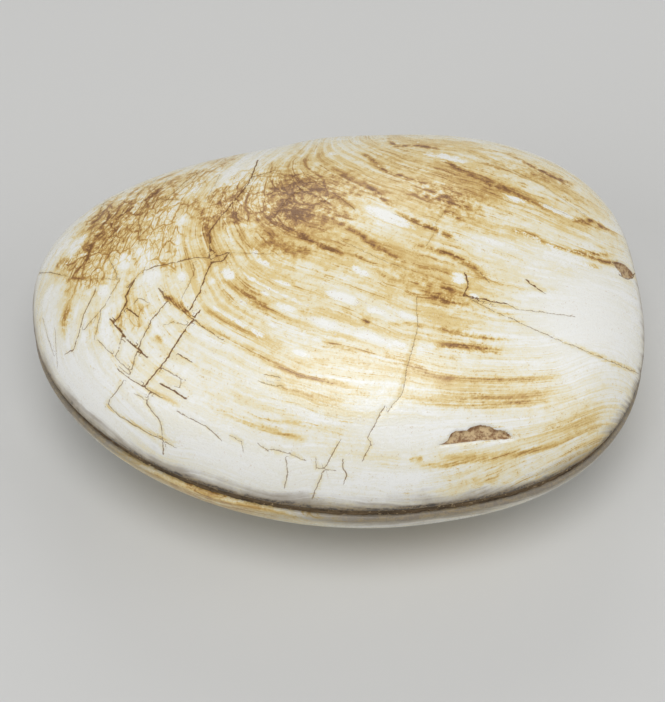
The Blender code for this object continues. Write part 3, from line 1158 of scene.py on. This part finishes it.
def relief_tree(material):
    """Moves a marked skin in and out: polish waves, growth ridges, pits, cracks and a rough rim."""
    tree = new_tree("skin relief")
    for name, value in (("waves", WAVES), ("ridges", RIDGES), ("crack_depth", CRACK_DEPTH)):
        add_input(tree, name, value)
    for name, value in (("pit_depth", PIT_DEPTH), ("pit_roughness", PIT_ROUGHNESS)):
        add_input(tree, name, value)
    add_input(tree, "rim_roughness", RIM_ROUGHNESS)
    graph = Graph(tree)
    form = input_fields(graph)
    growth, rim, pit = graph.split(named_vector(graph, "place"))
    _, near, width = graph.split(named_vector(graph, "lines"))
    _, outer, _ = graph.split(named_vector(graph, "extent"))
    point = graph.scaled(graph.node("GeometryNodeInputPosition"), 1 / MM)
    waves = (graph.noise(point, 0.09) - 0.5) * form.waves
    along = graph.scaled(point, 0.05)
    ridges = (graph.noise(along, 1.0, 2.0, 0.5, growth * RIDGE_COUNT) - 0.5) * form.ridges
    rough = (graph.noise(point, 1.3, 4.0, 0.6) - 0.5) * form.pit_roughness
    pits = pit * (rough - form.pit_depth)
    cracks = graph.ramp(near, 0.35, 0.0) * width * -form.crack_depth
    edge = graph.ramp(rim, 3.2, 1.2)
    chips = (graph.noise(point, 0.8, 3.0, 0.6) - 0.62) * form.rim_roughness * edge
    moved = (waves + ridges + pits + cracks + chips) * outer
    normal = graph.node("GeometryNodeInputNormal")
    start = graph.node("NodeGroupInput")
    geometry = graph.node(
        "GeometryNodeSetPosition", None, {"Geometry": start, "Offset": graph.scaled(normal, moved)}
    )
    finish_tree(graph, geometry, material)
    return tree


def new_material(name):
    """A new material with its graph and its shader."""
    material = bpy.data.materials.new(name)
    material.use_nodes = True
    shader = material.node_tree.nodes["Principled BSDF"]
    return material, Graph(material.node_tree), shader


def wire(graph, shader, name, field):
    """Links a field to one of the shader's sockets."""
    graph.tree.links.new(field.socket, shader.inputs[name])


def mark(graph, name):
    """A mark that the mesh keeps, as a vector."""
    settings = {"attribute_type": "GEOMETRY", "attribute_name": name}
    return graph.node("ShaderNodeAttribute", settings, None, "Vector")


def streaks(graph, point, growth, spread, count, detail=2.0, roughness=0.5):
    """Noise round 0 drawn out along the growth lines: spread each millimetre, count to the edge."""
    x, y, _ = graph.split(point)
    drawn = graph.joined(x * spread, y * spread, growth * count)
    return graph.noise(drawn, 1.0, detail, roughness) - 0.5


def stone_noise(graph, point, growth):
    """Noise round 0: four kinds drawn out along the growth lines, and three that spread evenly."""
    return SimpleNamespace(
        broad=streaks(graph, point, growth, 0.03, 24, 1.0),
        bands=streaks(graph, point, growth, 0.05, 56, 2.0, 0.6),
        fine=streaks(graph, point, growth, 0.09, 130, 2.0, 0.6),
        hair=streaks(graph, point, growth, 0.2, 290, 2.0, 0.6),
        patches=graph.noise(point, 0.22, 4.0, 0.65) - 0.5,
        mottle=graph.noise(point, 0.9, 3.0, 0.65) - 0.5,
        grain=graph.noise(point, 3.2, 2.0, 0.6) - 0.5,
    )


def stone_marks(graph):
    """The marks that a valve's mesh keeps, by name."""
    growth, rim, pit = graph.split(mark(graph, "place"))
    tan_stain, brown_stain, white_stain = graph.split(mark(graph, "stains"))
    side, near, width = graph.split(mark(graph, "lines"))
    net, _, gold_stain = graph.split(mark(graph, "extent"))
    return SimpleNamespace(
        growth=growth, rim=rim, pit=pit, side=side, near=near, width=width, net=net,
        tan=tan_stain, brown=brown_stain, white=white_stain, gold=gold_stain,
    )


def stain_depth(graph, noise, marks):
    """How deeply growth bands and patches stain the stone: 0 is plain, and 1 is the darkest."""
    streak = noise.broad * 1.1 + noise.bands * 1.6 + noise.fine * 1.15 + noise.hair * 0.7
    streak = streak + noise.patches * 1.1 + noise.mottle + noise.grain * 0.8
    amount = 0.3 + marks.gold * 0.05 + marks.tan * 0.15 + marks.brown * 0.2
    base = marks.gold * 0.275 + marks.tan * 0.16 + marks.brown * 0.46 + 0.05
    blotches = marks.brown * noise.mottle * 2.0
    netted = marks.net * (noise.patches + noise.mottle * 0.5) * 1.1
    thin_base = marks.gold * 0.14 + marks.tan * 0.1 + marks.brown * 0.25
    thin_noise = noise.hair * 2.8 + noise.fine * 1.6 + noise.mottle + noise.grain
    thin = graph.ramp(thin_base + thin_noise, 0.5, 0.85)
    return base + blotches + streak * amount + netted + thin * 0.23


def unwhitened(graph, noise, marks):
    """The share of the stain that the white spots and patches leave."""
    spots = noise.patches * 0.8 + noise.mottle * 1.5 + noise.bands + noise.fine * 1.2 + noise.grain * 0.8
    return 1.0 - graph.ramp(marks.white + spots, 0.3, 0.9)


def crack_share(graph, point, noise, marks):
    """How much of a crack's colour shows: a ragged line that breaks off here and there."""
    wobble = (graph.noise(point, 0.9, 4.0, 0.7) - 0.5) * 0.9
    ragged = marks.width * (0.9 + noise.mottle * 1.8)
    line = graph.ramp(absolute(marks.side + wobble), ragged * 0.7, ragged * 0.35)
    line = line * graph.ramp(marks.near, 0.8, 0.5)
    return line * graph.ramp(noise.mottle + noise.patches, -0.28, -0.16)


# How thickly mud cakes the rim of each valve, and how far the right valve's grain is moved along
LEFT_CAKING = 0.9
RIGHT_CAKING = 0.4
RIGHT_OFFSET = 37.0

# Colours of the stain, and how deep it is where each one sets in and where it is full
STAIN_COLOURS = (
    ("ivory", -0.04, 0.1),
    ("cream", 0.08, 0.24),
    ("gold", 0.22, 0.38),
    ("tan", 0.38, 0.56),
    ("ochre", 0.54, 0.72),
    ("brown", 0.7, 0.9),
    ("dark", 0.9, 1.15),
)


def stained_stone(graph, stain, colours):
    """The stone's colour for how deeply it is stained, from white to dark brown."""
    stone = colours.white
    for name, low, high in STAIN_COLOURS:
        stone = graph.mix(graph.ramp(stain, low, high), stone, getattr(colours, name))
    return stone


def rim_dirt_and_shade(graph, stone, noise, marks, colours, caking):
    """Washes the rim of a valve with dirt and painted shade, darker towards the seam, and cakes mud close
    to the seam. Also gives the wash's share.
    """
    uneven = noise.bands * 4.0 + noise.patches * 3.0
    # The wash is dirt and painted shade: it darkens the rim more the closer it comes to the seam.
    wash = graph.ramp(marks.rim + uneven, 4.4, 1.6) * (0.75 - marks.tan * 0.5)
    stone = graph.mix(wash, stone, colours.grime_and_shade)
    caked = graph.ramp(marks.rim + uneven * 0.35 + noise.mottle, 2.3, 1.5)
    grit = graph.ramp(noise.mottle * 1.4 + noise.fine + noise.grain * 1.6, -0.16, 0.2)
    cakes = graph.mix(grit, colours.dark_mud, colours.grime_and_shade)
    return graph.mix(caked * (caking - marks.tan * 0.5), stone, cakes), wash


def stone_material(name, colours, offset, caking):
    """Polished banded calcite: pale, with golden and brown growth bands, white spots, veins and cracks."""
    material, graph, shader = new_material(name)
    point = graph.scaled(graph.node("ShaderNodeTexCoord", None, None, "Object"), 1 / MM)
    point = graph.added(point, (offset, 0.0, 0.0))
    marks = stone_marks(graph)
    growth = marks.growth + (graph.noise(point, 0.3, 3.0) - 0.5) * 0.013
    noise = stone_noise(graph, point, growth)

    stain = stain_depth(graph, noise, marks) * unwhitened(graph, noise, marks)
    veins = graph.ramp(marks.net + noise.patches * 1.6, 0.25, 0.6) * vein_lines(graph, point, growth)
    halo = graph.ramp(marks.near + noise.patches * 3.0, 0.7, 0.0)
    stone = stained_stone(graph, stain + veins * 0.42 + halo * 0.14, colours)
    line = crack_share(graph, point, noise, marks)
    stone = graph.mix(line * within(marks.width * 5.0), stone, colours.vein)
    specks = graph.ramp(noise.grain + noise.mottle * 0.5, 0.14, 0.26) * (0.3 + marks.gold * 0.3)
    stone = graph.mix(specks, stone, colours.ochre)
    # Dirt and painted shade darken each valve's rim towards the seam, and close to it mud cakes.
    stone, wash = rim_dirt_and_shade(graph, stone, noise, marks, colours, caking)
    pale = graph.ramp(noise.mottle * 2.2 + noise.grain + marks.pit * 0.35, 0.0, 0.6)
    pit_share = graph.ramp(marks.pit, 0.25, 0.5)
    stone = graph.mix(pit_share, stone, graph.mix(pale, colours.pit_dark, colours.pit_light))
    wire(graph, shader, "Base Color", stone)

    rough = 0.3 + noise.grain * 0.3 + wash * 0.3 + pit_share * 0.5 + line * 0.3
    wire(graph, shader, "Roughness", within(rough))
    wire(graph, shader, "Normal", graph.bump(noise.hair * 0.4 + noise.grain, 0.5, 0.0001))
    shader.inputs["Coat Weight"].default_value = 0.2
    shader.inputs["Coat Roughness"].default_value = 0.15
    shader.inputs["IOR"].default_value = 1.5
    return material


def vein_lines(graph, point, growth):
    """A net of thin veins whose cells are drawn out along the growth lines."""
    total = 0.0
    x, y, _ = graph.split(warped(graph, point, 0.6, 1.2))
    for size, count, strength in ((0.26, 22, 1.0), (0.55, 55, 0.7)):
        cells = graph.node(
            "ShaderNodeTexVoronoi",
            {"voronoi_dimensions": "3D", "feature": "DISTANCE_TO_EDGE"},
            {"Vector": graph.joined(x * size, y * size, growth * count), "Scale": 1.0},
        )
        total = most(graph.ramp(cells, 0.07, 0.02) * strength, total)
    return total


def warped(graph, point, scale, amount):
    """A place pushed about by noise, so that what reads it isn't straight."""
    push = graph.node("ShaderNodeTexNoise", None, {"Vector": point, "Scale": scale, "Detail": 3.0}, "Color")
    push = graph.added(push, (-0.5, -0.5, -0.5))
    return graph.added(point, graph.scaled(push, amount * 2))


def sediment_material(name, colours):
    """Hardened mud in thin dark layers, with pale grains."""
    material, graph, shader = new_material(name)
    point = graph.scaled(graph.node("ShaderNodeTexCoord", None, None, "Object"), 1 / MM)
    x, y, z = graph.split(point)
    layered = graph.joined(x * 0.25, y * 0.25, z * 1.8)
    layers = graph.noise(layered, 1.0, 4.0, 0.65)
    grain = graph.noise(point, 1.4, 4.0, 0.7)
    mud = graph.mix(graph.ramp(layers, 0.35, 0.65), colours.mud, colours.silt)
    mud = graph.mix(graph.ramp(grain, 0.58, 0.7), mud, colours.pit_light)
    mud = graph.mix(graph.ramp(grain, 0.42, 0.3), mud, colours.dark_mud)
    wire(graph, shader, "Base Color", mud)
    wire(graph, shader, "Roughness", within(0.75 + grain * 0.2))
    wire(graph, shader, "Normal", graph.bump(grain + layers, 0.8, 0.0003))
    return material


def sediment_tree(material):
    """A closed body: a rough rim at the seam, flat plates behind it and a core inside the valves."""
    tree = new_tree("sediment form")
    form_inputs(tree)
    for name, value in (("recess", RECESS), ("rim_half", SEDIMENT_HALF), ("roughness", SEDIMENT_ROUGHNESS)):
        add_input(tree, name, value)
    for name, value in (("upper_swell", UPPER_SWELL), ("lower_swell", LOWER_SWELL + FLAT_SAG)):
        add_input(tree, name, value)
    add_input(tree, "core_inset", WALL + CORE_CLEARANCE)
    add_input(tree, "segments", SEDIMENT_SEGMENTS, "NodeSocketInt")
    add_input(tree, "rings", SEDIMENT_RINGS, "NodeSocketInt")
    graph = Graph(tree)
    form = input_fields(graph)
    sizes = {"Radius": 1.0, "Segments": form.segments, "Rings": form.rings}
    ball = graph.node("GeometryNodeMeshUVSphere", None, sizes)
    x, y, z = graph.split(graph.node("GeometryNodeInputPosition"))
    angle = arctan2(y, x)
    turn = arcsin(least(most(z, -1.0), 1.0))
    upper = above(turn, 0.0)

    on_rim = above(RIM_TURN + RIM_TURN_SLACK, absolute(turn))
    rim_rise = turn / RIM_TURN * form.rim_half
    inward = within((absolute(turn) - RIM_TURN) / (QUARTER_TURN - RIM_TURN))
    swell = pick(upper, form.upper_swell, form.lower_swell) - form.core_inset
    low_climb = arcsin(form.rim_half / swell)
    climb = pick(on_rim, 0.0, low_climb + (QUARTER_TURN - low_climb) * inward)
    inset = pick(on_rim, form.recess, form.core_inset)
    flat_at = pick(upper, NO_FLAT, LOWER_SWELL - form.core_inset)
    px, py, rise = skin_point(angle, climb, inset, swell, flat_at, form)
    height = pick(on_rim, rim_rise, rise * (upper * 2.0 - 1.0))
    place = graph.joined(px, py, SEAM_Z + height)
    geometry = graph.node("GeometryNodeSetPosition", None, {"Geometry": ball, "Position": place})

    point = graph.scaled(graph.node("GeometryNodeInputPosition"), 1 / MM)
    rough = graph.noise(point, 0.7, 4.0, 0.65) * form.roughness * on_rim
    geometry = stored(graph, geometry, "rough", rough)
    rough = graph.node("GeometryNodeInputNamedAttribute", {"data_type": "FLOAT"}, {"Name": "rough"})
    inwards = graph.scaled(graph.joined(-cos(angle), -sin(angle), 0.0), rough)
    geometry = graph.node("GeometryNodeSetPosition", None, {"Geometry": geometry, "Offset": inwards})
    finish_tree(graph, geometry, material)
    return tree


def colour_property(name, meaning, *screen_colour):
    return FloatVectorProperty(
        name=name, description=meaning, subtype="COLOR", size=4, default=srgb(*screen_colour), min=0, max=1
    )


class StoneColours(bpy.types.PropertyGroup):
    """Colours of the stone and the sediment"""

    ivory: colour_property("Ivory", "Plain stone of the valves", 240, 238, 226)
    cream: colour_property("Cream", "Faint growth bands in the plain stone", 237, 228, 196)
    gold: colour_property("Gold", "Golden wash round the beak", 229, 206, 147)
    tan: colour_property("Tan", "Stained growth bands", 210, 176, 107)
    ochre: colour_property("Ochre", "Darker part of the stained bands", 186, 144, 78)
    brown: colour_property("Brown", "Brown patches near the beak", 160, 118, 66)
    dark: colour_property("Dark", "Darkest streaks", 128, 88, 44)
    vein: colour_property("Vein", "Cracks", 118, 80, 38)
    white: colour_property("White", "White spots and patches", 246, 246, 242)
    # This colour is dirt along a valve's edge, and also painted shade where the edge rounds in to the seam.
    grime_and_shade: colour_property("Grime", "Dirt along the edge of a valve", 134, 114, 82)
    pit_dark: colour_property("Pit dark", "Hollows in the floors of the window and the chip", 138, 102, 68)
    pit_light: colour_property("Pit light", "Pale parts of those floors, and pale grains", 208, 182, 140)
    mud: colour_property("Mud", "Sediment", 82, 66, 46)
    silt: colour_property("Silt", "Paler layers of the sediment", 128, 106, 76)
    dark_mud: colour_property("Dark mud", "Hollows in the sediment and cakes of it on the rims", 48, 38, 28)


def length_property(name, meaning, value):
    return FloatProperty(name=name, description=meaning, default=value, min=0, unit="LENGTH")


class SkinSizes(bpy.types.PropertyGroup):
    """Sizes of the finer skins"""

    wall: length_property("Wall", "Thickness of a valve", WALL)
    lip_radius: length_property("Lip radius", "Rounding of a valve's edge at the seam", LIP_RADIUS)
    recess: length_property("Recess", "How far the sediment lies back from the edge", RECESS)
    pit_depth: length_property("Pit depth", "Depth of the worn window and the chip", PIT_DEPTH)
    grid_points: IntProperty(
        name="Grid points", description="Points along a side of a skin's grid", default=GRID_POINTS, min=3
    )


class StageLook(bpy.types.PropertyGroup):
    """Floor and light"""

    floor: FloatVectorProperty(
        name="Floor", description="Colour of the floor", subtype="COLOR", size=4, default=FLOOR_COLOUR
    )
    key_power: FloatProperty(
        name="Main light", description="Power of the main light", default=MAIN_POWER, min=0, unit="POWER"
    )


def build_valve(name, side, material, sizes):
    """A plain valve; the right one is cut off level at the flat that the clam rests on."""
    if side > 0:
        values = {"side": 1.0, "swell": UPPER_SWELL - SKIN_INSET, "flat_at": NO_FLAT}
    else:
        values = {"side": -1.0, "swell": LOWER_SWELL + FLAT_SAG, "flat_at": LOWER_SWELL - SKIN_INSET}
    values.update({"wall": sizes.wall, "lip_radius": sizes.lip_radius, "grid_points": sizes.grid_points})
    return plain_mesh(new_piece(name), valve_tree(material), values)


def finish_piece(piece, node):
    """Puts a finished piece under the root body and hides the solid that it stands for."""
    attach(piece, "root")
    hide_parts(node)


class CLAM_OT_valves(bpy.types.Operator):
    """Builds both valves, marks them and gives them their relief"""

    bl_idname = "clam.valves"
    bl_label = "Valves"

    def execute(self, context):
        sizes = context.scene.clam_sizes
        colours = context.scene.clam_colours
        left_stone = stone_material("left_valve_stone", colours, 0.0, LEFT_CAKING)
        right_stone = stone_material("right_valve_stone", colours, RIGHT_OFFSET, RIGHT_CAKING)
        left = build_valve("left_valve_shell", 1, left_stone, sizes)
        right = build_valve("right_valve_shell", -1, right_stone, sizes)
        field, marks = marks_of_left_valve(left.data)
        store_marks(left.data, marks)
        store_marks(right.data, marks_of_right_valve(right.data, field))
        for piece, stone in ((left, left_stone), (right, right_stone)):
            plain_mesh(piece, relief_tree(stone), {"pit_depth": sizes.pit_depth})
        finish_piece(left, "left_valve")
        finish_piece(right, "right_valve")
        return {"FINISHED"}


class CLAM_OT_sediment(bpy.types.Operator):
    """Builds the sediment that fills the seam and the inside of the valves"""

    bl_idname = "clam.sediment"
    bl_label = "Sediment"

    def execute(self, context):
        mud = sediment_material("hardened_sediment", context.scene.clam_colours)
        values = {"recess": context.scene.clam_sizes.recess}
        piece = plain_mesh(new_piece("sediment_seam"), sediment_tree(mud), values)
        finish_piece(piece, "sediment_fill")
        return {"FINISHED"}


def add_camera():
    """The camera that sees the clam as the photograph does."""
    forward = camera_axes()[0]
    data = bpy.data.cameras.new("photo_camera")
    data.sensor_fit = "HORIZONTAL"
    data.sensor_width = SENSOR_WIDTH
    data.lens = FOCAL_PIXELS / PHOTO_WIDTH * SENSOR_WIDTH
    data.clip_start = 0.01
    camera = bpy.data.objects.new("photo_camera", data)
    bpy.context.scene.collection.objects.link(camera)
    camera.location = CAMERA_TARGET - forward * CAMERA_DISTANCE
    camera.rotation_euler = forward.to_track_quat("-Z", "Y").to_euler()
    bpy.context.scene.camera = camera


def add_light(name, place, size, power):
    """A round soft light, turned to the clam."""
    light = bpy.data.lights.new(name, "AREA")
    light.shape = "DISK"
    light.size = size
    light.energy = power
    lamp = bpy.data.objects.new(name, light)
    bpy.context.scene.collection.objects.link(lamp)
    lamp.location = place
    lamp.rotation_euler = (LIGHT_AIM - Vector(place)).to_track_quat("-Z", "Y").to_euler()


class CLAM_OT_stage(bpy.types.Operator):
    """Sets the floor, the soft lights, the surroundings and the photograph's camera"""

    bl_idname = "clam.stage"
    bl_label = "Stage"

    def execute(self, context):
        scene = context.scene
        look = scene.clam_stage
        bpy.ops.mesh.primitive_plane_add(size=FLOOR_SIZE)
        floor = context.active_object
        floor.name = "floor"
        material, _, shader = new_material("floor")
        shader.inputs["Base Color"].default_value = look.floor
        shader.inputs["Roughness"].default_value = 0.9
        floor.data.materials.append(material)
        for name, (place, size, share) in LIGHTS.items():
            add_light(name, place, size, look.key_power * share)
        world = bpy.data.worlds.new("surroundings")
        world.use_nodes = True
        sky = world.node_tree.nodes["Background"]
        sky.inputs["Color"].default_value = (1, 1, 1, 1)
        sky.inputs["Strength"].default_value = SURROUNDINGS_STRENGTH
        scene.world = world
        scene.view_settings.view_transform = "Standard"
        add_camera()
        return {"FINISHED"}


class CLAM_PT_panel(bpy.types.Panel):
    """Lists the steps that build the fossil clam"""

    bl_label = "Fossil clam"
    bl_idname = "CLAM_PT_panel"
    bl_space_type = "VIEW_3D"
    bl_region_type = "UI"
    bl_category = "Fossil clam"

    def draw(self, context):
        for group in (context.scene.clam_sizes, context.scene.clam_colours, context.scene.clam_stage):
            column = self.layout.column()
            for name in group.__annotations__:
                column.prop(group, name)
        for step in STEPS:
            self.layout.operator(step.bl_idname)


STEPS = (CLAM_OT_stage, CLAM_OT_valves, CLAM_OT_sediment)
GROUPS = {"clam_colours": StoneColours, "clam_sizes": SkinSizes, "clam_stage": StageLook}


def register():
    for cls in (*GROUPS.values(), *STEPS, CLAM_PT_panel):
        bpy.utils.register_class(cls)
    for name, cls in GROUPS.items():
        setattr(bpy.types.Scene, name, PointerProperty(type=cls))


def unregister():
    for name in GROUPS:
        delattr(bpy.types.Scene, name)
    for cls in (CLAM_PT_panel, *STEPS, *GROUPS.values()):
        bpy.utils.unregister_class(cls)


def main():
    register()
    bpy.ops.clam.stage()
    bpy.ops.clam.valves()
    bpy.ops.clam.sediment()


if __name__ == "__main__":
    main()
